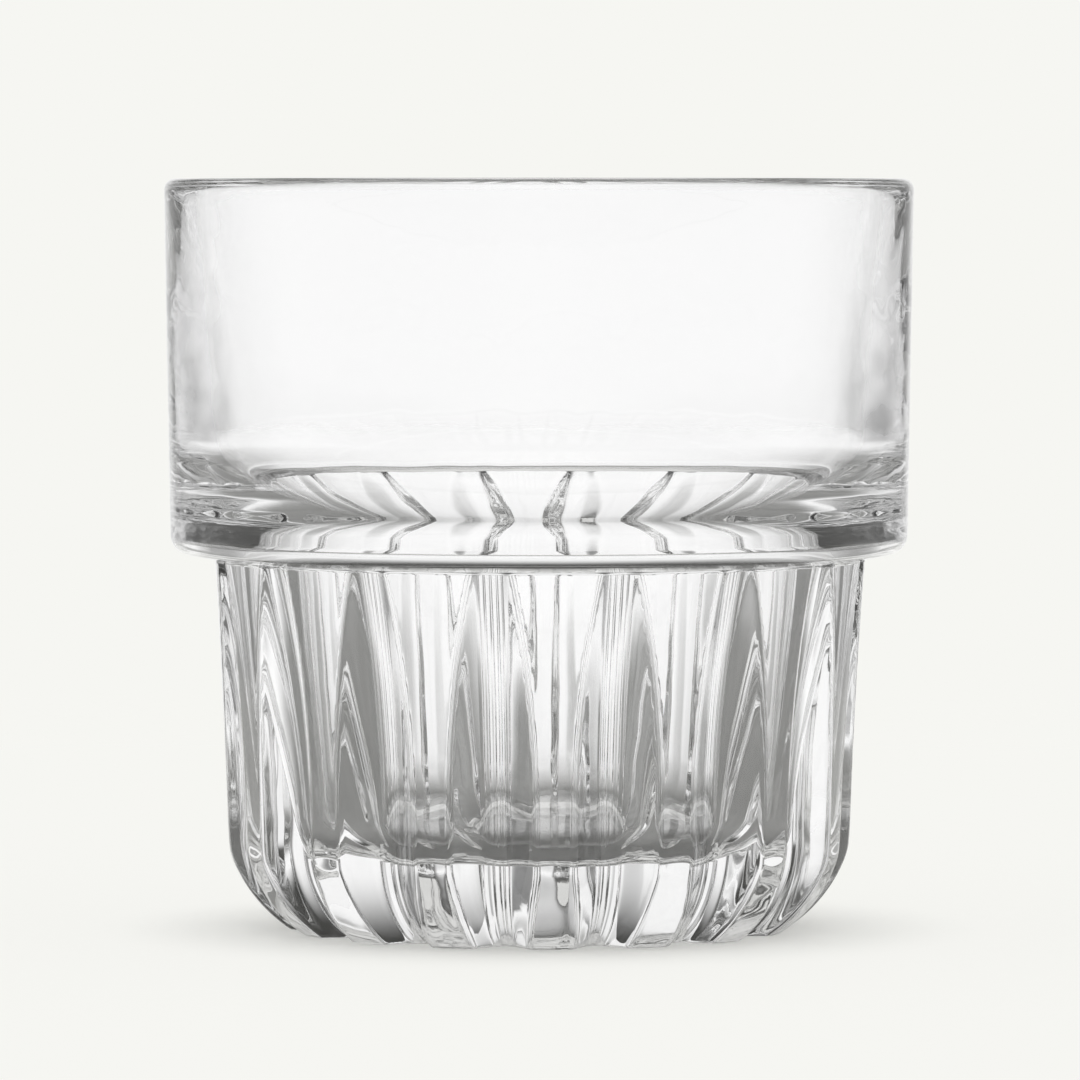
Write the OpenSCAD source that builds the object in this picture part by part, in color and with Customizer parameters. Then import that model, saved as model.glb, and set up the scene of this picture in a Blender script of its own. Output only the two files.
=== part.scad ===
// Cortado glass: one pressing of clear glass, a plain collar over a narrower fluted body.
// Millimetres, +Z up, the origin at the centre of the foot on the table.

/* [Rim and collar] */
// Height of the glass from the table to the top of the rim
height = 79.2; // [74:0.2:86]
// Distance that the rim stands out from the lower edge of the collar
rim_flare = 0.6; // [0:0.1:2]
// Thickness of the fully rounded rim
rim_wall = 2.4; // [1.6:0.1:3]
// Distance that the lower edge of the collar stands out from the body
collar_step = 4.3; // [3.5:0.1:5.5]
// Height at which the underside of the collar meets the body
collar_z = 39.2; // [35:0.2:41]
// Radius of the collar's rounded lower edge
collar_edge_r = 1.9; // [1.2:0.1:3]
// Rise of the collar's underside towards its edge, in degrees
underside_angle = 12; // [6:1:30]

/* [Fluted body] */
// Outside diameter of the body where it leaves the collar
body_d = 69.2; // [66:0.2:71]
// Draft of the body's side, in degrees
body_draft = 2.2; // [1:0.1:5]
// Radius of the rounded heel between the side and the foot
heel_r = 16; // [13:0.5:18]
// Part of the heel's round that the flat foot cuts off
foot_lip = 2.6; // [2:0.1:3.4]
// Number of flutes round the body
flute_count = 16; // [12:1:18]
// Turn of the flutes about the axis, in degrees
flute_turn = 2.9; // [0:0.1:22]
// Depth of a flute along the side of the body
flute_depth = 3.9; // [3:0.1:4.4]
// Depth of a flute where it starts under the collar
flute_start = 1.2; // [0.6:0.1:2]
// Length over which a flute reaches its full depth
flute_run = 24; // [16:0.5:26]
// Radius of a flute's round bottom
flute_bottom_r = 2.2; // [1:0.1:3]
// Lean of a flute's flanks from the surface of the body, in degrees
flute_flank = 40; // [36:1:60]
// Radius of a flute's bottom round the heel
flute_heel_r = 12; // [9:0.5:14]
// Dip of that round's lowest point under the level of the table
flute_dip = 1.5; // [0.5:0.1:2.5]
// Depth of the shallow panels between the flutes
panel_depth = 0.65; // [0.3:0.05:0.9]
// Radius of a panel's hollow across the body
panel_r = 33; // [25:1:80]

/* [Bowl] */
// Thickness of the glass between the bowl's floor and the table
base_wall = 8.8; // [7:0.2:13]
// Thickness of the body's wall, without flutes, at the mouth of the lower bowl
body_wall = 3.8; // [3.2:0.1:5]
// Height of the lower bowl's mouth over the table
mouth_z = 42.6; // [38:0.1:45]
// Draft of the lower bowl's side, in degrees
bowl_draft = 12; // [6:0.5:14]
// Radius of the fillet round the bowl's floor
floor_r = 5; // [2:0.5:8]
// Radius of the shelf's rolled edge into the lower bowl
shelf_edge_r = 5; // [2:0.5:7]
// Steepest lean of the shelf from the vertical, in degrees
shelf_angle = 35; // [28:1:42]
// Radius of the cove from the upper wall into the shelf
cove_r = 15; // [11:0.5:18]
// Radius of the upper wall's slow flare towards the rim
flare_r = 310; // [220:10:600]

/* [Foot] */
// Width of the flat ring that the glass stands on
foot_ring = 4.5; // [3.6:0.1:6]
// Depth of the shallow hollow inside that ring
hollow_depth = 0.6; // [0.3:0.1:1.5]

/* [Hidden] */
$fn = 128;
glass_colour = [0.86, 0.92, 0.92, 0.45];
// Reach of a shape past the surface that it opens or joins
past = 0.8;
// Overlap that lets a round and the line that it runs into cross cleanly
lap = 0.01;
// Turn, in degrees, by which a round reaches past the points where it is tangent
spread = 8;
// The same turn for the upper wall's slow flare
flare_spread = 0.3;
// Step in depth from one stretch of a cut to the next, so that they cross cleanly
cut_lap = 0.06;
// Turn, in degrees, by which the stretches of a cut overlap
cut_reach = 10;
// The same turn for the slow arc at the start of a flute
start_reach = 4;
// Share of the way from one panel's middle to the next one's that its cutter takes
panel_share = 0.9;
// Run of the foot hollow's side for each millimetre of its depth
hollow_run = 2;

// Unit vector at an angle from the radial direction, in a radius and height plane
function along(angle) = [cos(angle), sin(angle)];

// Outside of the body: a drafted side that runs tangent into the heel
body_r = body_d / 2;
function body_side(z) = body_r - (collar_z - z) * tan(body_draft);
// Centre of the round that a surface at some depth follows round the heel, down to its lowest point
function heel_round(depth, radius, lowest) = [
    body_side(lowest + radius) - (depth + radius) / cos(body_draft), lowest + radius
];
heel_centre = heel_round(0, heel_r, -foot_lip);
heel_end = heel_centre + heel_r * along(-body_draft);
foot_r = heel_centre[0] + sqrt(heel_r ^ 2 - heel_centre[1] ^ 2);
hollow_r = foot_r - foot_ring;

// Collar: a sloping underside, a round edge and a side that is tangent to edge and rim
collar_r = body_r + collar_step;
rim_r = rim_wall / 2;
rim_centre = [collar_r + rim_flare - rim_r, height - rim_r];
edge_start_r = collar_r - collar_edge_r * (1 - sin(underside_angle));
edge_start = [edge_start_r, collar_z + (edge_start_r - body_r) * tan(underside_angle)];
edge_centre = edge_start - collar_edge_r * along(underside_angle - 90);
edge_to_rim = rim_centre - edge_centre;
collar_draft = atan2(edge_to_rim[0], edge_to_rim[1])
    - asin((collar_edge_r - rim_r) / norm(edge_to_rim));
edge_end = edge_centre + collar_edge_r * along(-collar_draft);
rim_outside = rim_centre + rim_r * along(-collar_draft);

// Lower bowl: a flat floor, a fillet and a drafted side up to the mouth
mouth_r = body_r - body_wall;
floor_centre_z = base_wall + floor_r;
floor_centre = [
    mouth_r - (mouth_z - floor_centre_z) * tan(bowl_draft) - floor_r / cos(bowl_draft),
    floor_centre_z
];
floor_end = floor_centre + floor_r * along(-bowl_draft);

// Shelf: a rolled edge that turns out of the lower bowl, then a cove that turns up again
mouth = [mouth_r, mouth_z];
shelf_edge_centre = mouth + shelf_edge_r * along(-bowl_draft);
shelf = shelf_edge_centre - shelf_edge_r * along(-shelf_angle);
cove_centre = shelf - cove_r * along(-shelf_angle);

// Upper wall: one slow arc, tangent to the cove below and to the rim above
cove_to_rim = rim_centre - cove_centre;
wall_reach = norm(cove_to_rim);
flare_to_cove = flare_r + cove_r;
flare_to_rim = flare_r - rim_r;
flare_along = (flare_to_cove ^ 2 - flare_to_rim ^ 2 + wall_reach ^ 2) / (2 * wall_reach);
flare_aside = sqrt(flare_to_cove ^ 2 - flare_along ^ 2);
flare_centre = cove_centre + (flare_along * cove_to_rim
    + flare_aside * [cove_to_rim[1], -cove_to_rim[0]]) / wall_reach;
flare_lean = atan2(cove_centre[1] - flare_centre[1], flare_centre[0] - cove_centre[0]);
rim_lean = atan2(rim_centre[1] - flare_centre[1], flare_centre[0] - rim_centre[0]);
cove_end = cove_centre + cove_r * along(-flare_lean);
rim_inside = rim_centre - rim_r * along(-rim_lean);

// Flute: an arc from its start under the collar to its full depth, and a round at the heel
flute_pitch = 360 / flute_count;
flute_gain = flute_depth - flute_start;
flute_start_r = (flute_run ^ 2 + flute_gain ^ 2) / (2 * flute_gain);
flute_full = [body_r, collar_z] - flute_run * along(90 - body_draft) - flute_depth * along(-body_draft);
flute_start_centre = flute_full + (flute_start_r - cut_lap) * along(-body_draft);
flute_start_turn = asin((flute_run + past) / flute_start_r);
flute_open = flute_depth + past;
flute_heel = heel_round(flute_depth - cut_lap, flute_heel_r, -flute_dip);
flute_heel_end = flute_heel + (flute_heel_r - cut_lap) * along(-body_draft);
into_heel = flute_heel_r * sin(cut_reach);

// Panel: its turn to each side of its middle, in degrees, and its reach below the heel's start
panel_half = body_r * sin(flute_pitch / 2) * panel_share;
panel_span = asin(panel_half / panel_r);
panel_below = sqrt(heel_r ^ 2 - (heel_r - panel_depth - past) ^ 2);

// The part of a disc between two directions in degrees, spread a little at both ends
module slice(centre, radius, from, to, extra = spread) {
    half = (to - from) / 2 + extra;
    middle = (from + to) / 2;
    reach = (radius + past) / cos(half);
    translate(centre)
        intersection() {
            circle(radius + lap);
            polygon([[0, 0], reach * along(middle - half), reach * along(middle + half)]);
        }
}

// Half section of the body without its flutes, from the foot up into the collar
module body_section() {
    top = collar_z + past;
    intersection() {
        union() {
            polygon([
                [0, -past], [heel_centre[0], -past], heel_end, [body_side(top), top], [0, top]
            ]);
            slice(heel_centre, heel_r, -90, -body_draft);
        }
        difference() {
            square([body_d, height]);
            polygon([
                [-past, -past], [hollow_r + hollow_run * past, -past],
                [hollow_r - hollow_run * hollow_depth, hollow_depth], [-past, hollow_depth]
            ]);
        }
    }
}

// Half section of the collar and its rim, without the bowl
module collar_section() {
    inset = flute_depth;
    bottom = collar_z - inset * tan(underside_angle);
    polygon([
        [0, bottom], [body_r - inset, bottom], edge_start, edge_end, rim_outside, rim_centre,
        [0, rim_centre[1]]
    ]);
    slice(edge_centre, collar_edge_r, underside_angle - 90, -collar_draft);
    translate(rim_centre)
        circle(rim_r + lap);
}

// Half section of the space inside the glass
module bowl_section() {
    difference() {
        union() {
            polygon([
                [0, base_wall], [floor_centre[0], base_wall], floor_end, mouth, shelf, cove_end,
                rim_inside, [rim_inside[0] - past, height + past], [0, height + past]
            ]);
            slice(floor_centre, floor_r, -90, -bowl_draft);
            slice(cove_centre, cove_r, -shelf_angle, -flare_lean);
        }
        slice(shelf_edge_centre, shelf_edge_r, 180 - shelf_angle, 180 - bowl_draft);
        slice(flare_centre, flare_r, 180 - rim_lean, 180 - flare_lean, flare_spread);
    }
}

// Section of a flute: its bottom touches the origin and it opens along +X
module flute_section() {
    tangent_x = flute_bottom_r * (1 - cos(flute_flank));
    tangent_y = flute_bottom_r * sin(flute_flank);
    open_y = tangent_y + (flute_open - tangent_x) / tan(flute_flank);
    polygon([
        [tangent_x, -tangent_y], [flute_open, -open_y], [flute_open, open_y], [tangent_x, tangent_y]
    ]);
    slice([flute_bottom_r, 0], flute_bottom_r, 180 - flute_flank, 180 + flute_flank);
}

// Section of a panel, placed and opened like that of a flute
module panel_section() {
    slice([panel_r, 0], panel_r, 180 - panel_span, 180 + panel_span, 0);
}

// Turns a section about a level axis through a point, between two directions from it
module turned(centre, from, to) {
    translate([centre[0], 0, centre[1]])
        rotate([90, 0, 0])
            rotate([0, 0, from])
                rotate_extrude(angle = to - from)
                    children();
}

// Runs a section up along the drafted side of the body, from a point to some height
module run_up(bottom, top) {
    translate([bottom[0], 0, bottom[1]])
        rotate([0, body_draft, 0])
            linear_extrude(top - bottom[1])
                children();
}

// Cutter for one flute: it swings in under the collar, runs down the side and round the heel
module flute() {
    turned(flute_start_centre, 180 - body_draft - flute_start_turn, 180 - body_draft + start_reach)
        translate([flute_start_r, 0])
            mirror([1, 0])
                flute_section();
    run_up(flute_heel_end - into_heel * along(90 - body_draft), flute_full[1])
        flute_section();
    turned(flute_heel, -90 - cut_reach / 2, cut_reach / 2 - body_draft)
        translate([flute_heel_r, 0])
            flute_section();
}

// Cutter for the shallow panel between two flutes: it runs straight down until the heel leaves it
module panel() {
    bottom = heel_end - panel_depth * along(-body_draft) - panel_below * along(90 - body_draft);
    run_up(bottom, collar_z + 2 * past)
        panel_section();
}

// The pressed glass: a fluted body and the collar that it carries, round one bowl
module glass_tumbler() {
    color(glass_colour)
        difference() {
            union() {
                difference() {
                    difference() {
                        rotate_extrude()
                            body_section();
                        for (i = [0 : flute_count - 1])
                            rotate([0, 0, flute_turn - 90 + i * flute_pitch])
                                panel();
                    }
                    for (i = [0 : flute_count - 1])
                        rotate([0, 0, flute_turn - 90 + (i + 0.5) * flute_pitch])
                            flute();
                }
                rotate_extrude()
                    collar_section();
            }
            rotate_extrude()
                bowl_section();
        }
}

glass_tumbler();
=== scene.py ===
# %% [markdown]
# # A cortado glass in Blender
# A cortado glass is one pressing of clear soda-lime glass: a plain collar over a narrower body
# with flutes, and a thick base. The CAD model holds its true size. This lesson gives it a finer
# surface for light to bend through, the glass itself, and a small white studio to stand in.

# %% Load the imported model
import math

import bpy
import numpy as np
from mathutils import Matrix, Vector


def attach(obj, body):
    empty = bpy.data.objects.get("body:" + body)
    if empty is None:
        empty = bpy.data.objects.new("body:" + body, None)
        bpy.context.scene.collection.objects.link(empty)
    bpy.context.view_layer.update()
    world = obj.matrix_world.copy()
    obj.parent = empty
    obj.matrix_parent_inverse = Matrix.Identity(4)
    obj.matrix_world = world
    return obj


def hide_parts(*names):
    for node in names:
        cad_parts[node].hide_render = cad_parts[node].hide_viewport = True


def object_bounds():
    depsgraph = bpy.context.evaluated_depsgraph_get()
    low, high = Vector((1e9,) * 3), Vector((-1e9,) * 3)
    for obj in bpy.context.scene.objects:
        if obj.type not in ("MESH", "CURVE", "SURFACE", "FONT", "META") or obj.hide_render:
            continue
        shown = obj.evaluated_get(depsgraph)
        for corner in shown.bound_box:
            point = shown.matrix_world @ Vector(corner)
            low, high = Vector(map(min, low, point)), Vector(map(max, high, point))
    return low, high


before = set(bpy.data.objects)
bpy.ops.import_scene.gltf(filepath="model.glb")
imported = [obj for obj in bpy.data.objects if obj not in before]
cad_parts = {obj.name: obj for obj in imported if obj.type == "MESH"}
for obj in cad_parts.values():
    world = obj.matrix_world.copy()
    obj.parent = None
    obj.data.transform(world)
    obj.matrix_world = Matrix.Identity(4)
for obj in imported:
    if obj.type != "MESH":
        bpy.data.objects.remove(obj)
cad_low, cad_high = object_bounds()
MM = 0.001
print("CAD size in millimetres:", [round(side / MM, 2) for side in cad_high - cad_low])

# %% [markdown]
# ## The camera
# The photograph is taken from the height of the rim, so the rim shows as one line, and from about
# 0.9 m away. A level camera with a shifted lens would give nearly the same picture. A camera
# tilted down is used, because it keeps the glass in the middle of every other view.

# %% Place the camera
PHOTO_PX = 1080
LENS_PX = 8525
HORIZON_ROW = 164.1
AXIS_COLUMN = 539
CAMERA_DISTANCE = 900.0
EYE_OVER_RIM = 1.5
SENSOR = 36.0

camera = bpy.data.objects.new("camera", bpy.data.cameras.new("camera"))
bpy.context.scene.collection.objects.link(camera)
bpy.context.scene.camera = camera
camera.data.sensor_width = SENSOR
camera.data.lens = SENSOR * LENS_PX / PHOTO_PX
camera.data.clip_start = 0.01
tilt = math.atan((PHOTO_PX / 2 - HORIZON_ROW) / LENS_PX)
aside = (PHOTO_PX / 2 - AXIS_COLUMN) * CAMERA_DISTANCE / LENS_PX
camera.location = (aside * MM, -CAMERA_DISTANCE * MM, cad_high.z + EYE_OVER_RIM * MM)
camera.rotation_euler = (math.pi / 2 - tilt, 0, 0)
print("camera tilted down by", round(math.degrees(tilt), 2), "degrees")

# %% [markdown]
# ## The section of the glass
# A pressed tumbler is a turned shape, so half of its section tells nearly everything. It could be
# drawn as a curve and spun by a Screw modifier. Here it is worked out point by point from the same
# sizes as the CAD model, because the flutes have to be cut into the rings before they are joined.
# Sizes are in millimetres, and a point is a radius and a height.

# %% Sizes of the glass
HEIGHT = 79.2
RIM_D = 79.0
RIM_WALL = 2.4
COLLAR_D = 77.8
COLLAR_Z = 39.2
COLLAR_EDGE_R = 1.9
UNDERSIDE_ANGLE = 12

BODY_D = 69.2
BODY_DRAFT = 2.2
HEEL_R = 16.0
FOOT_LIP = 2.6
HOLLOW_DEPTH = 0.6
HOLLOW_RUN = 2.0
FOOT_RING = 4.5

BASE_WALL = 8.8
BODY_WALL = 3.8
MOUTH_Z = 42.6
BOWL_DRAFT = 12
FLOOR_R = 5.0
SHELF_EDGE_R = 5.0
SHELF_ANGLE = 35
COVE_R = 15.0
FLARE_R = 310.0
print("rim", RIM_D, "mm across and", HEIGHT, "mm up")

# %% Helpers for lines and arcs


def along(degrees):
    """The unit vector at an angle from the radial direction."""
    turn = np.radians(degrees)
    return np.stack([np.cos(turn), np.sin(turn)], axis=-1)


def line(start, end, spacing):
    """Points from start to end, both included."""
    start, end = np.array(start, float), np.array(end, float)
    steps = max(1, math.ceil(np.linalg.norm(end - start) / spacing))
    return start + np.linspace(0, 1, steps + 1)[:, None] * (end - start)


def arc(centre, radius, start, end, spacing):
    """Points of an arc between two directions in degrees, both included."""
    steps = max(2, math.ceil(math.radians(abs(end - start)) * radius / spacing))
    return np.array(centre) + radius * along(np.linspace(start, end, steps + 1))


print("a quarter of the heel has", len(arc((0, 0), HEEL_R, -90, 0, 0.4)), "points")

# %% [markdown]
# ### Outside
# From the table up: a flat foot round a shallow hollow, a rounded heel, a side with a slight draft
# so that the mould lets go, the collar's underside, its rounded edge, and a fully rounded rim.
# Each round is tangent to what it joins, so that no false line shows in the glass.

# %% Work out the outside
body_r = BODY_D / 2
rim_r = RIM_WALL / 2
rim_centre = np.array([RIM_D / 2 - rim_r, HEIGHT - rim_r])

heel_z = HEEL_R - FOOT_LIP
heel_side = body_r - (COLLAR_Z - heel_z) * math.tan(math.radians(BODY_DRAFT))
heel_centre = np.array([heel_side - HEEL_R / math.cos(math.radians(BODY_DRAFT)), heel_z])
heel_end = heel_centre + HEEL_R * along(-BODY_DRAFT)
foot_turn = math.degrees(math.asin(heel_z / HEEL_R))
foot_r = heel_centre[0] + HEEL_R * math.cos(math.radians(foot_turn))
hollow_r = foot_r - FOOT_RING

edge_start_r = COLLAR_D / 2 - COLLAR_EDGE_R * (1 - math.sin(math.radians(UNDERSIDE_ANGLE)))
underside_rise = (edge_start_r - body_r) * math.tan(math.radians(UNDERSIDE_ANGLE))
edge_start = np.array([edge_start_r, COLLAR_Z + underside_rise])
edge_centre = edge_start - COLLAR_EDGE_R * along(UNDERSIDE_ANGLE - 90)
edge_to_rim = rim_centre - edge_centre
collar_draft = math.degrees(
    math.atan2(*edge_to_rim) - math.asin((COLLAR_EDGE_R - rim_r) / np.linalg.norm(edge_to_rim))
)
print("foot", round(2 * foot_r, 1), "mm across, collar draft", round(collar_draft, 2), "degrees")

# %% [markdown]
# ### Inside
# The bowl is what the plunger of the press leaves: a floor with a fillet, a lower side that
# narrows downwards, and a shelf that the next glass of a stack sits over. The shelf is an edge
# rolled outwards and a cove that turns up again, and the upper wall flares slowly into the rim.

# %% Work out the inside
mouth = np.array([body_r - BODY_WALL, MOUTH_Z])
floor_centre_z = BASE_WALL + FLOOR_R
floor_centre = np.array([
    mouth[0]
    - (MOUTH_Z - floor_centre_z) * math.tan(math.radians(BOWL_DRAFT))
    - FLOOR_R / math.cos(math.radians(BOWL_DRAFT)),
    floor_centre_z,
])
floor_end = floor_centre + FLOOR_R * along(-BOWL_DRAFT)
shelf_edge_centre = mouth + SHELF_EDGE_R * along(-BOWL_DRAFT)
shelf = shelf_edge_centre - SHELF_EDGE_R * along(-SHELF_ANGLE)
cove_centre = shelf - COVE_R * along(-SHELF_ANGLE)

cove_to_rim = rim_centre - cove_centre
reach = np.linalg.norm(cove_to_rim)
flare_along = ((FLARE_R + COVE_R) ** 2 - (FLARE_R - rim_r) ** 2 + reach**2) / (2 * reach)
flare_aside = math.sqrt((FLARE_R + COVE_R) ** 2 - flare_along**2)
across = np.array([cove_to_rim[1], -cove_to_rim[0]])
flare_centre = cove_centre + (flare_along * cove_to_rim + flare_aside * across) / reach


def lean(low, high):
    """Angle from the vertical, in degrees, of the wall whose round runs from low to high."""
    return math.degrees(math.atan2(low[1] - high[1], high[0] - low[0]))


flare_lean = lean(cove_centre, flare_centre)
rim_lean = lean(rim_centre, flare_centre)
print("the upper wall leans", round(flare_lean, 2), "degrees at the shelf")
print("and", round(rim_lean, 2), "degrees at the rim")

# %% [markdown]
# ## The flutes
# Sixteen flutes run down the body. Each has a round bottom and straight flanks, swings in under
# the collar along an arc, runs down the side at one depth and turns round the heel with an arc of
# its own. The land between two flutes is a shallow hollow panel, which works as a lens. A Boolean
# could cut all of them, but it leaves a ragged mesh that shows in clear glass. Instead each ring
# of the body is pushed in by the depth that the flutes and panels have there, so the grid stays
# even.

# %% Depth of a flute along the body
FLUTES = 16
FLUTE_TURN = 2.9
FLUTE_DEPTH = 3.9
FLUTE_START = 1.2
FLUTE_RUN = 24.0
FLUTE_BOTTOM_R = 2.2
FLUTE_FLANK = 40
FLUTE_HEEL_R = 12.0
FLUTE_DIP = 1.5
PANEL_DEPTH = 0.65
PANEL_R = 33.0
EDGE_SOFTNESS = 0.2

flute_gain = FLUTE_DEPTH - FLUTE_START
flute_start_r = (FLUTE_RUN**2 + flute_gain**2) / (2 * flute_gain)


def heel_round(depth, radius, lowest):
    """Centre of the round that a cut of this depth follows round the heel."""
    draft = math.radians(BODY_DRAFT)
    height = lowest + radius
    side = body_r - (COLLAR_Z - height) * math.tan(draft)
    return np.array([side - (depth + radius) / math.cos(draft), height])


flute_heel = heel_round(FLUTE_DEPTH, FLUTE_HEEL_R, -FLUTE_DIP)


def depth_on_side(points):
    """Depth along the drafted side: an arc under the collar, then constant."""
    down = np.linalg.norm(points - np.array([body_r, COLLAR_Z]), axis=1)
    left = np.clip(FLUTE_RUN - down, 0, None)
    return FLUTE_DEPTH - (flute_start_r - np.sqrt(flute_start_r**2 - left**2))


def depth_of_round(points, inward, centre, radius):
    """Depth from points on the surface, each in its own direction, to a round about a centre."""
    offset = points - centre
    ahead = (offset * inward).sum(axis=1)
    under_root = ahead**2 - (offset**2).sum(axis=1) + radius**2
    return -ahead - np.sqrt(np.clip(under_root, 0, None))


def depth_of_side(points, inward, depth):
    """Depth from points on the surface to the drafted side moved in by a depth."""
    out = along(-BODY_DRAFT)
    return ((points - heel_end) @ out + depth) / -(inward @ out)


print("flutes start", FLUTE_START, "mm deep and reach", FLUTE_DEPTH, "mm after", FLUTE_RUN, "mm")

# %% Shape of a flute across the body
AROUND = 640

pitch = 2 * math.pi / FLUTES
turns = (np.arange(AROUND) + 0.5) * 2 * math.pi / AROUND
from_flute = (turns + pitch / 2) % pitch - pitch / 2
facing = math.radians(FLUTE_TURN - 90) + pitch / 2
bearings = turns + facing


def soft_max(first, second):
    """The greater of two depths, with the edge between them softened as by the fire."""
    return (first + second + np.sqrt((first - second) ** 2 + EDGE_SOFTNESS**2)) / 2


def flute_cut(radius, slope, depth, panel):
    """How far the flutes and the panels between them push in each point of a ring."""
    bend_r = radius / slope
    turn = slope * np.abs(from_flute)
    flank = math.radians(FLUTE_FLANK)
    bottom_x = bend_r - depth
    tangent = np.array([
        bottom_x + FLUTE_BOTTOM_R * (1 - math.cos(flank)),
        FLUTE_BOTTOM_R * math.sin(flank),
    ])
    middle = bottom_x + FLUTE_BOTTOM_R
    under_root = FLUTE_BOTTOM_R**2 - (middle * np.sin(turn)) ** 2
    to_bottom = middle * np.cos(turn) - np.sqrt(np.clip(under_root, 0, None))
    to_flank = (tangent[0] - tangent[1] * math.tan(flank)) / (
        np.cos(turn) - math.tan(flank) * np.sin(turn)
    )
    on_bottom = turn < math.atan2(tangent[1], tangent[0])
    flute = bend_r - np.where(on_bottom, to_bottom, to_flank)
    from_panel = bend_r * (slope * pitch / 2 - turn)
    hollow = panel - from_panel**2 * (1 / PANEL_R + 1 / bend_r) / 2
    return soft_max(soft_max(flute, hollow), 0)


print(AROUND // FLUTES, "points across each flute")

# %% [markdown]
# ## The glass as one mesh
# The section is walked once: along the outside from the middle of the foot up to the rim, and down
# the inside to the middle of the bowl's floor. Every point of it becomes a ring. Rings lie close
# together where the wall curves and far apart where it is straight.

# %% Make the rings
FINE = 0.4
COARSE = 1.5
RIM_FINE = 0.15
LEAST_SLOPE = 0.02


def ring(point):
    """A plain ring of points round the axis."""
    height = point[1] + 0 * bearings
    return np.stack([point[0] * np.cos(bearings), point[0] * np.sin(bearings), height], axis=1)


def cut_ring(point, inward, depth, panel):
    """A ring that flutes and panels push inward."""
    push = flute_cut(point[0], max(-inward[0], LEAST_SLOPE), depth, panel)
    radius = point[0] + inward[0] * push
    height = point[1] + inward[1] * push
    return np.stack([radius * np.cos(bearings), radius * np.sin(bearings), height], axis=1)


hollow_edge = (hollow_r - HOLLOW_RUN * HOLLOW_DEPTH, HOLLOW_DEPTH)
foot = line((hollow_r, 0), (foot_r, 0), FINE)
heel = arc(heel_centre, HEEL_R, -foot_turn, -BODY_DRAFT, FINE)[1:]
side = line(heel_end, (body_r, COLLAR_Z), FINE)[1:]

heel_inward = (heel_centre - heel) / HEEL_R
foot_angles = np.linspace(90, 180 - foot_turn, len(foot))
low = np.concatenate([foot, heel])
low_inward = np.concatenate([along(foot_angles), heel_inward])
straight_low = depth_of_side(low, low_inward, FLUTE_DEPTH)
round_low = depth_of_round(low, low_inward, flute_heel, FLUTE_HEEL_R)
round_top = flute_heel[1] - FLUTE_HEEL_R * math.sin(math.radians(BODY_DRAFT))
over_round = low[:, 1] + straight_low * low_inward[:, 1] > round_top
flute_low = np.where(over_round, straight_low, round_low)
panel_low = depth_of_side(low, low_inward, PANEL_DEPTH)

rings = [ring(point) for point in line((COARSE, HOLLOW_DEPTH), hollow_edge, COARSE)]
rings += [cut_ring(*where) for where in zip(low, low_inward, flute_low, panel_low)]
rings += [
    cut_ring(point, -along(-BODY_DRAFT), depth, PANEL_DEPTH)
    for point, depth in zip(side, depth_on_side(side))
]

plain = [
    line((body_r, COLLAR_Z), edge_start, FINE),
    arc(edge_centre, COLLAR_EDGE_R, UNDERSIDE_ANGLE - 90, -collar_draft, FINE)[1:],
    line(
        edge_centre + COLLAR_EDGE_R * along(-collar_draft),
        rim_centre + rim_r * along(-collar_draft),
        COARSE,
    )[1:],
    arc(rim_centre, rim_r, -collar_draft, 180 - rim_lean, RIM_FINE)[1:],
    arc(flare_centre, FLARE_R, 180 - rim_lean, 180 - flare_lean, COARSE)[1:],
    arc(cove_centre, COVE_R, -flare_lean, -SHELF_ANGLE, FINE)[1:],
    arc(shelf_edge_centre, SHELF_EDGE_R, 180 - SHELF_ANGLE, 180 - BOWL_DRAFT, FINE)[1:],
    line(mouth, floor_end, COARSE)[1:],
    arc(floor_centre, FLOOR_R, -BOWL_DRAFT, -90, FINE)[1:],
    line((floor_centre[0], BASE_WALL), (COARSE, BASE_WALL), COARSE)[1:],
]
rings += [ring(point) for stretch in plain for point in stretch]
print(len(rings), "rings of", AROUND, "points")

# %% Join the rings into one closed mesh
step = np.arange(AROUND)
after = (step + 1) % AROUND
starts = np.arange(len(rings) - 1)[:, None] * AROUND
quads = np.stack(
    [starts + step, starts + after, starts + AROUND + after, starts + AROUND + step], axis=-1
)
last = (len(rings) - 1) * AROUND
under, inside = len(rings) * AROUND, len(rings) * AROUND + 1
middles = np.array([[0, 0, HOLLOW_DEPTH], [0, 0, BASE_WALL]])
points = np.concatenate([*rings, middles]) * MM
faces = quads.reshape(-1, 4).tolist()
faces += [(under, int(b), int(a)) for a, b in zip(step, after)]
faces += [(inside, last + int(a), last + int(b)) for a, b in zip(step, after)]

mesh = bpy.data.meshes.new("glass")
mesh.from_pydata(points.tolist(), [], faces)
mesh.shade_smooth()
glass = bpy.data.objects.new("glass", mesh)
bpy.context.scene.collection.objects.link(glass)
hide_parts("glass_tumbler")
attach(glass, "root")
print("glass mesh of", len(mesh.polygons), "faces")

# %% [markdown]
# ## Pressed soda-lime glass
# Table glass is soda-lime glass. Pressed in an iron mould and polished by the fire, it has a
# bright, nearly perfect surface with a faint ripple where the cooling skin met the iron, and it
# bends light with an index of about 1.52. A Glass shader would do, but the Principled shader also
# tells other programs what it is. The ripple is a bump of a few hundredths of a millimetre, so
# that the bent lines in the body waver a little, as they do in a real glass.

# %% Helpers for colours and nodes


def srgb(code):
    """Linear colour of an sRGB hex code."""
    parts = [int(code[i : i + 2], 16) / 255 for i in (1, 3, 5)]
    return [c / 12.92 if c <= 0.04045 else ((c + 0.055) / 1.055) ** 2.4 for c in parts] + [1.0]


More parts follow.
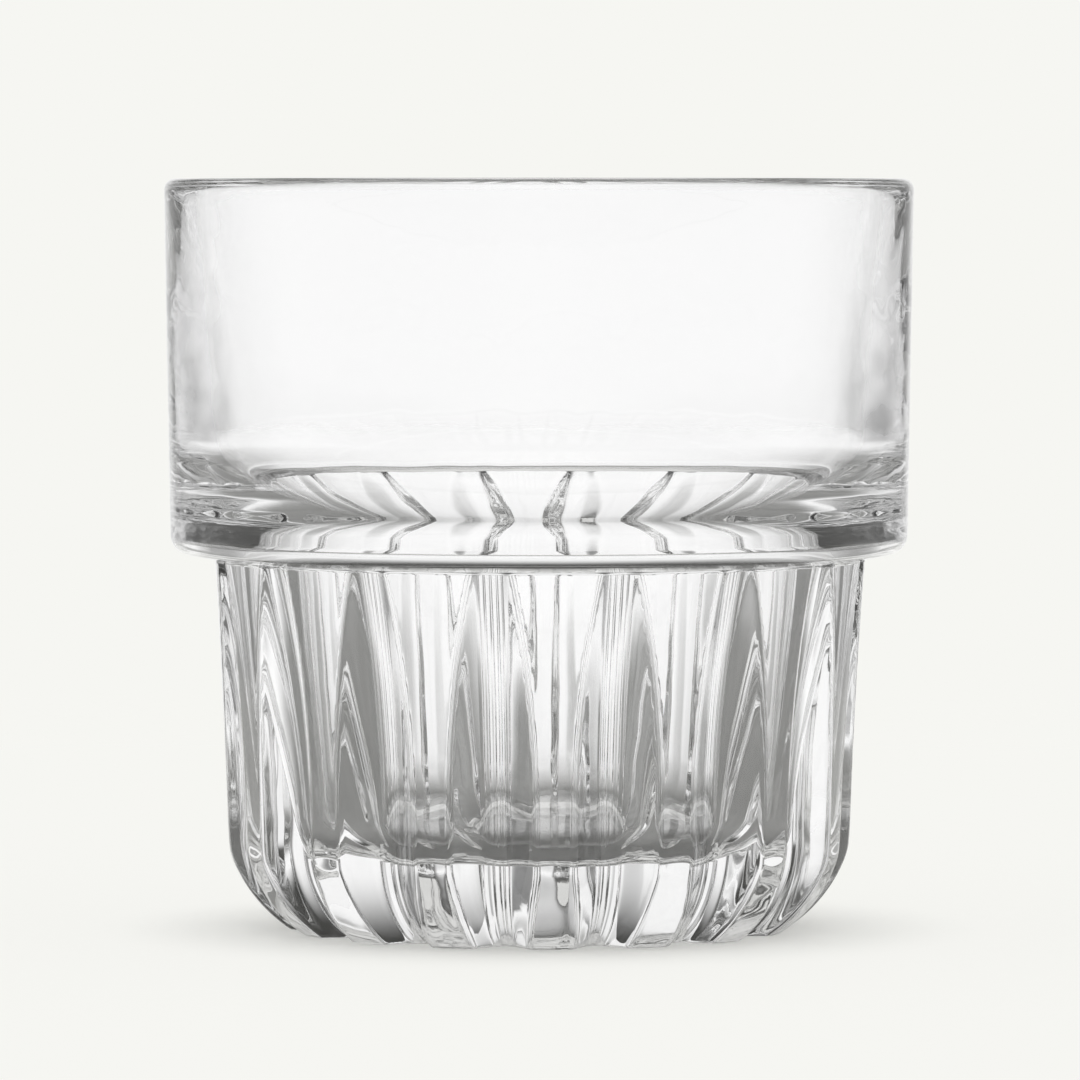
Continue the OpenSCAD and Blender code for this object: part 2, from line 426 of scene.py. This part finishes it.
def add_node(tree, kind, values=None, links=None, **settings):
    """Adds a node, sets its properties and sockets, and links outputs of other nodes to it."""
    node = tree.nodes.new(kind)
    for name, value in settings.items():
        setattr(node, name, value)
    for socket, value in (values or {}).items():
        node.inputs[socket].default_value = value
    for socket, output in (links or {}).items():
        tree.links.new(output, node.inputs[socket])
    return node


print("the sRGB grey #808080 is", round(srgb("#808080")[0], 3), "in linear light")

# %% Make the glass
GLASS_IOR = 1.52
RIPPLE_WIDTH = 6.0
RIPPLE_HEIGHT = 0.04

# Fire-polished glass gives the eye hard bright lines, and no colour of its own.
pressed_glass = bpy.data.materials.new("pressed soda-lime glass")
pressed_glass.use_nodes = True
tree = pressed_glass.node_tree
tree.nodes.clear()
place = add_node(tree, "ShaderNodeTexCoord")
ripple = add_node(
    tree,
    "ShaderNodeTexNoise",
    {"Scale": 1 / (RIPPLE_WIDTH * MM), "Detail": 1.0},
    {"Vector": place.outputs["Object"]},
)
bump = add_node(
    tree,
    "ShaderNodeBump",
    {"Strength": 1.0, "Distance": RIPPLE_HEIGHT * MM},
    {"Height": ripple.outputs["Fac"]},
)
surface = add_node(
    tree,
    "ShaderNodeBsdfPrincipled",
    {
        "Base Color": srgb("#FFFFFF"),
        "Roughness": 0.0,
        "IOR": GLASS_IOR,
        "Transmission Weight": 1.0,
    },
    {"Normal": bump.outputs["Normal"]},
)
add_node(tree, "ShaderNodeOutputMaterial", links={"Surface": surface.outputs["BSDF"]})
mesh.materials.append(pressed_glass)
print("made", pressed_glass.name)

# %% [markdown]
# Light goes round inside a thick wall many times before it finds a way out, mirrored each time.
# Blender follows four mirrorings unless it is told to follow more, and the rest would be black.

# %% Follow light further into the glass
BOUNCES = 24

paths = bpy.context.scene.cycles
paths.max_bounces = BOUNCES
paths.transmission_bounces = BOUNCES
paths.glossy_bounces = BOUNCES
print("light is followed for", paths.glossy_bounces, "mirrorings")

# %% [markdown]
# ## Floor
# The glass stands on a round sheet of matt white paper. A plane would do as well, but a corner of
# it would show through the glass.

# %% Lay the sheet of paper
SHEET_R = 400.0
SHEET_SIDES = 180
SHEET_GAP = 0.05

edge_turns = np.linspace(0, 2 * math.pi, SHEET_SIDES, endpoint=False)
edge = SHEET_R * MM * np.stack([np.cos(edge_turns), np.sin(edge_turns), 0 * edge_turns], axis=1)
floor_mesh = bpy.data.meshes.new("floor")
floor_mesh.from_pydata(edge.tolist(), [], [range(SHEET_SIDES)])
floor = bpy.data.objects.new("floor", floor_mesh)
bpy.context.scene.collection.objects.link(floor)
floor.location.z = -SHEET_GAP * MM
print("sheet of paper", 2 * SHEET_R, "mm across")

# %% [markdown]
# ### Paper as the glass shows it
# Seen through the glass the paper isn't even. Close to the foot it lies in the shade of the glass,
# and to the left and right of it the studio is dim. Those tones draw the flutes. Tracing them
# would take lamps, flags and a long render, so that shade is painted on the paper instead, softly
# by distance and bearing, and only where its light comes through the glass. Bearings are folded,
# so that front and back are alike.

# %% Paint shade on the paper beside the glass
PAPER_LIT = "#FFFFFF"
PAPER_SIDE_SHADE = "#868684"
WHITE_FAN = 12.0
SIDE_SHADE_FAN = 62.0
SIDE_SHADE_REACH = (110.0, 230.0)

# Matt paper gives the eye one even pale tone with no shine. Through the glass it shows painted
# shade.
paper = bpy.data.materials.new("matt paper")
paper.use_nodes = True
tree = paper.node_tree
tree.nodes.clear()
spot = add_node(tree, "ShaderNodeTexCoord")
spot_axes = add_node(tree, "ShaderNodeSeparateXYZ", links={"Vector": spot.outputs["Object"]})
beside = add_node(
    tree, "ShaderNodeMath", links={0: spot_axes.outputs["X"]}, operation="ABSOLUTE"
)
ahead = add_node(
    tree, "ShaderNodeMath", links={0: spot_axes.outputs["Y"]}, operation="ABSOLUTE"
)
fan = add_node(
    tree,
    "ShaderNodeMath",
    links={0: beside.outputs["Value"], 1: ahead.outputs["Value"]},
    operation="ARCTAN2",
)
side_shade_by_bearing = add_node(
    tree,
    "ShaderNodeMapRange",
    {"From Min": math.radians(WHITE_FAN), "From Max": math.radians(SIDE_SHADE_FAN)},
    {"Value": fan.outputs["Value"]},
    interpolation_type="SMOOTHSTEP",
)
away = add_node(
    tree, "ShaderNodeVectorMath", links={0: spot.outputs["Object"]}, operation="LENGTH"
)
close_by = add_node(
    tree,
    "ShaderNodeMapRange",
    {
        "From Min": SIDE_SHADE_REACH[0] * MM,
        "From Max": SIDE_SHADE_REACH[1] * MM,
        "To Min": 1.0,
        "To Max": 0.0,
    },
    {"Value": away.outputs["Value"]},
    interpolation_type="SMOOTHSTEP",
)
# Painted shade: paper to the left and right of the glass, out to the reach, is darkened where its
# light comes through the glass.
painted_side_shade = add_node(
    tree,
    "ShaderNodeMath",
    links={0: side_shade_by_bearing.outputs["Result"], 1: close_by.outputs["Result"]},
    operation="MULTIPLY",
)
far_tone = add_node(
    tree,
    "ShaderNodeMix",
    {"A": srgb(PAPER_LIT), "B": srgb(PAPER_SIDE_SHADE)},
    {"Factor": painted_side_shade.outputs["Value"]},
    data_type="RGBA",
)
# The grey printed here is painted shade beside the glass, not a grey of the paper.
print("paper is grey from", SIDE_SHADE_FAN, "degrees off the view and up to", SIDE_SHADE_REACH[1], "mm away")

# %% Paint shade on the paper under the glass
PAPER_WHITE = "#F6F6F2"
PAPER_SHADE = "#9A9A98"
SHADE_FROM = 28.0
SHADE_TO = 60.0

lit = add_node(
    tree,
    "ShaderNodeMapRange",
    {"From Min": SHADE_FROM * MM, "From Max": SHADE_TO * MM},
    {"Value": away.outputs["Value"]},
    interpolation_type="SMOOTHSTEP",
)
# Painted shade: the paper darkens towards the foot, where its light comes through the glass, in
# place of a traced shadow.
paper_with_painted_shade = add_node(
    tree,
    "ShaderNodeMix",
    {"A": srgb(PAPER_SHADE)},
    {"Factor": lit.outputs["Result"], "B": far_tone.outputs["Result"]},
    data_type="RGBA",
)
through = add_node(tree, "ShaderNodeLightPath")
tone = add_node(
    tree,
    "ShaderNodeMix",
    {"A": srgb(PAPER_WHITE)},
    {"Factor": through.outputs["Is Transmission Ray"], "B": paper_with_painted_shade.outputs["Result"]},
    data_type="RGBA",
)
print("paper is shaded up to", SHADE_TO, "mm from the axis")

# %% [markdown]
# ### Paper as the camera sees it
# The background of the photograph is one pale tone, with a small soft shadow at the foot. The
# paper gives the camera that tone by a light of its own, which is weak at the foot, where the
# shadow stays. Its edge fades out, so that neither the camera nor the glass finds a line there.

# %% Lift the paper's tone and fade its edge
LIFT = (0.35, 0.9)
LIFT_REACH = (28.0, 48.0)
FADE_FROM = 240.0

matt = add_node(tree, "ShaderNodeBsdfDiffuse", links={"Color": tone.outputs["Result"]})
pale = add_node(tree, "ShaderNodeEmission", {"Color": srgb(PAPER_WHITE), "Strength": 1.0})
clear_of_foot = add_node(
    tree,
    "ShaderNodeMapRange",
    {
        "From Min": LIFT_REACH[0] * MM,
        "From Max": LIFT_REACH[1] * MM,
        "To Min": LIFT[0],
        "To Max": LIFT[1],
    },
    {"Value": away.outputs["Value"]},
    interpolation_type="SMOOTHSTEP",
)
lift = add_node(
    tree,
    "ShaderNodeMath",
    links={0: through.outputs["Is Camera Ray"], 1: clear_of_foot.outputs["Result"]},
    operation="MULTIPLY",
)
sheet = add_node(
    tree,
    "ShaderNodeMixShader",
    links={"Fac": lift.outputs["Value"], 1: matt.outputs["BSDF"], 2: pale.outputs["Emission"]},
)
fading = add_node(
    tree,
    "ShaderNodeMapRange",
    {"From Min": FADE_FROM * MM, "From Max": SHEET_R * MM},
    {"Value": away.outputs["Value"]},
    interpolation_type="SMOOTHSTEP",
)
gone = add_node(tree, "ShaderNodeBsdfTransparent")
soft_edged = add_node(
    tree,
    "ShaderNodeMixShader",
    links={"Fac": fading.outputs["Result"], 1: sheet.outputs["Shader"], 2: gone.outputs["BSDF"]},
)
add_node(tree, "ShaderNodeOutputMaterial", links={"Surface": soft_edged.outputs["Shader"]})
floor_mesh.materials.append(paper)
print("made", paper.name)

# %% [markdown]
# ## Studio
# Clear glass shows only what is around it, so the studio is half of the picture. Glass is lit the
# bright-field way: a white card behind it fills the picture, and a dark gap on each side of the
# card draws the glass's edges. The walls to the sides and behind the camera are bright, it is dark
# over the card, and a softbox hangs overhead. Card and lamps could be meshes. All of it is far
# away, so it is painted on the world by bearing and elevation, which renders with less noise.

# %% Paint the studio round the horizon
CARD = [
    (-180, 1.0),
    (-120, 0.95),
    (-75, 0.9),
    (-58, 0.6),
    (-45, 0.3),
    (-32, 0.28),
    (-25, 0.5),
    (-17, 0.95),
    (15, 0.95),
    (23, 0.45),
    (30, 0.26),
    (42, 0.25),
    (58, 0.55),
    (75, 0.9),
    (120, 0.9),
    (180, 1.0),
]

world = bpy.data.worlds.new("studio")
bpy.context.scene.world = world
world.use_nodes = True
tree = world.node_tree
tree.nodes.clear()
direction = add_node(tree, "ShaderNodeTexCoord")
axes = add_node(tree, "ShaderNodeSeparateXYZ", links={"Vector": direction.outputs["Generated"]})
bearing = add_node(
    tree,
    "ShaderNodeMath",
    links={0: axes.outputs["X"], 1: axes.outputs["Y"]},
    operation="ARCTAN2",
)
share = add_node(
    tree,
    "ShaderNodeMapRange",
    {"From Min": -math.pi, "From Max": math.pi},
    {"Value": bearing.outputs["Value"]},
)
card = add_node(tree, "ShaderNodeValToRGB", links={"Fac": share.outputs["Result"]})
stops = card.color_ramp.elements
while len(stops) < len(CARD):
    stops.new(1.0)
for stop, (degrees, level) in zip(stops, CARD):
    stop.position = degrees / 360 + 0.5
    stop.color = (level, level, level, 1)
print("studio with", len(CARD), "tones round the horizon")

# %% Hang the softbox over it
CARD_TOP = (4, 20)
SOFTBOX = (36, 50)
DARK = "#363634"
LIGHT = "#DADAD8"

elevation = add_node(
    tree, "ShaderNodeMath", links={0: axes.outputs["Z"]}, operation="ARCSINE"
)
over_card = add_node(
    tree,
    "ShaderNodeMapRange",
    {"From Min": math.radians(CARD_TOP[0]), "From Max": math.radians(CARD_TOP[1])},
    {"Value": elevation.outputs["Value"]},
    interpolation_type="SMOOTHSTEP",
)
walls = add_node(
    tree,
    "ShaderNodeMix",
    {"B": srgb(DARK)},
    {"Factor": over_card.outputs["Result"], "A": card.outputs["Color"]},
    data_type="RGBA",
)
in_softbox = add_node(
    tree,
    "ShaderNodeMapRange",
    {"From Min": math.radians(SOFTBOX[0]), "From Max": math.radians(SOFTBOX[1])},
    {"Value": elevation.outputs["Value"]},
    interpolation_type="SMOOTHSTEP",
)
studio = add_node(
    tree,
    "ShaderNodeMix",
    {"B": srgb(LIGHT)},
    {"Factor": in_softbox.outputs["Result"], "A": walls.outputs["Result"]},
    data_type="RGBA",
)
print("softbox above", SOFTBOX[0], "degrees")

# %% [markdown]
# The glass sees the painted studio, and the camera sees the pale tone of the paper. Light for the
# floor is kept apart from both. It comes from the whole sky, most of it from above, at the strength
# that makes paper render in the colour written for it.

# %% Show the studio to the glass and light the floor from above
FALL_OFF = 1.0

seen = add_node(tree, "ShaderNodeLightPath")
view = add_node(
    tree,
    "ShaderNodeMix",
    {"B": srgb(PAPER_WHITE)},
    {"Factor": seen.outputs["Is Camera Ray"], "A": studio.outputs["Result"]},
    data_type="RGBA",
)
seen_or_mirrored = add_node(
    tree,
    "ShaderNodeMath",
    links={0: seen.outputs["Is Camera Ray"], 1: seen.outputs["Is Glossy Ray"]},
    operation="ADD",
)
seen_at_all = add_node(
    tree,
    "ShaderNodeMath",
    links={0: seen_or_mirrored.outputs["Value"], 1: seen.outputs["Is Transmission Ray"]},
    operation="ADD",
    use_clamp=True,
)
not_by_floor = add_node(
    tree,
    "ShaderNodeMath",
    {1: 0.5},
    {0: seen.outputs["Diffuse Depth"]},
    operation="LESS_THAN",
)
any_view = add_node(
    tree,
    "ShaderNodeMath",
    links={0: seen_at_all.outputs["Value"], 1: not_by_floor.outputs["Value"]},
    operation="MULTIPLY",
)
steepness = add_node(
    tree,
    "ShaderNodeMath",
    {1: FALL_OFF},
    {0: axes.outputs["Z"]},
    operation="POWER",
    use_clamp=True,
)
level = add_node(
    tree,
    "ShaderNodeMath",
    {1: (FALL_OFF + 2) / 2},
    {0: steepness.outputs["Value"]},
    operation="MULTIPLY",
)
sky_light = add_node(
    tree,
    "ShaderNodeBackground",
    {"Color": srgb("#FFFFFF")},
    {"Strength": level.outputs["Value"]},
)
painted = add_node(
    tree, "ShaderNodeBackground", {"Strength": 1.0}, {"Color": view.outputs["Result"]}
)
mix = add_node(
    tree,
    "ShaderNodeMixShader",
    links={
        "Fac": any_view.outputs["Value"],
        1: sky_light.outputs["Background"],
        2: painted.outputs["Background"],
    },
)
add_node(tree, "ShaderNodeOutputWorld", links={"Surface": mix.outputs["Shader"]})
bpy.context.scene.view_settings.view_transform = "Standard"
print("world", world.name, "ready")
